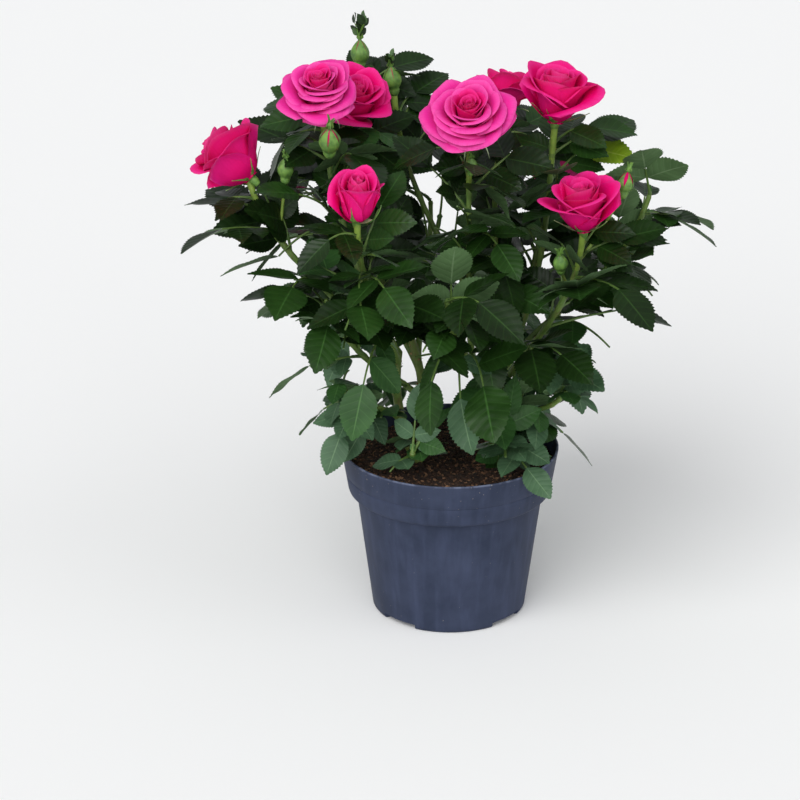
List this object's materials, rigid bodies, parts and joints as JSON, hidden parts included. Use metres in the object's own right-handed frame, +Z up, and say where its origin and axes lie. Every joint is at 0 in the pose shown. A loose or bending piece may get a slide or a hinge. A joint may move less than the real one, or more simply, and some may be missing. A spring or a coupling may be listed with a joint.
{
  "type": "potted rose bush",
  "caption": "Miniature rose bush in flower in a plain nursery pot: upright canes, glossy toothed leaves and double pink blooms.",
  "frame": {"origin": "centre of the pot's flat underside, on the surface it stands on", "axes": "+Z up along the pot's axis, -Y towards the front that shows most blooms, +X to the right seen from the front"},
  "size_m": [0.2847, 0.2619, 0.3153],
  "materials": {
    "pot_plastic": "satin injection-moulded polypropylene, dark blue-grey",
    "potting_soil": "moist peat-based potting soil with bark crumbs",
    "cane_bark": "smooth green rose bark with brown streaks and prickles",
    "shoot_bark": "smooth young green bark",
    "leaf": "glossy dark green leaf with a waxy surface, paler underneath",
    "petal": "soft velvety deep pink petal"
  },
  "bodies": {
    "root": {"pot": "pot_plastic", "soil": "potting_soil", "cane_front_left": "cane_bark", "cane_front_right": "cane_bark", "cane_back_left": "cane_bark", "cane_back_right": "cane_bark", "bough_left": "shoot_bark", "bough_upper_left": "shoot_bark", "bough_front": "shoot_bark", "bough_centre": "shoot_bark", "bough_right": "shoot_bark", "bough_far_right": "shoot_bark", "bough_top_left": "shoot_bark", "bough_top_bud": "shoot_bark", "bough_top_centre": "shoot_bark", "bough_upper_back": "shoot_bark", "bough_upper_right": "shoot_bark", "bough_back_left": "shoot_bark", "bough_back_right": "shoot_bark", "bough_mid_left": "shoot_bark", "bough_mid_front": "shoot_bark", "bough_mid_back": "shoot_bark", "bloom_left": "petal", "bloom_upper_left": "petal", "bloom_front": "petal", "bloom_centre": "petal", "bloom_right": "petal", "bloom_top_left": "petal", "bud_top_bud": "petal", "bud_top_centre": "petal", "bloom_upper_back": "petal", "bloom_upper_right": "petal", "bloom_back_left": "petal", "bloom_back_right": "petal", "foliage_left": "leaf", "foliage_upper_left": "leaf", "foliage_front": "leaf", "foliage_centre": "leaf", "foliage_right": "leaf", "foliage_far_right": "leaf", "foliage_top_left": "leaf", "foliage_top_bud": "leaf", "foliage_top_centre": "leaf", "foliage_upper_back": "leaf", "foliage_upper_right": "leaf", "foliage_back_left": "leaf", "foliage_back_right": "leaf", "foliage_low_left": "leaf", "foliage_low_front": "leaf", "foliage_low_right": "leaf", "foliage_low_middle": "leaf", "foliage_low_back_left": "leaf", "foliage_low_back_right": "leaf", "foliage_mid_left": "leaf", "foliage_mid_front": "leaf", "foliage_mid_back": "leaf"}
  },
  "joints": []
}
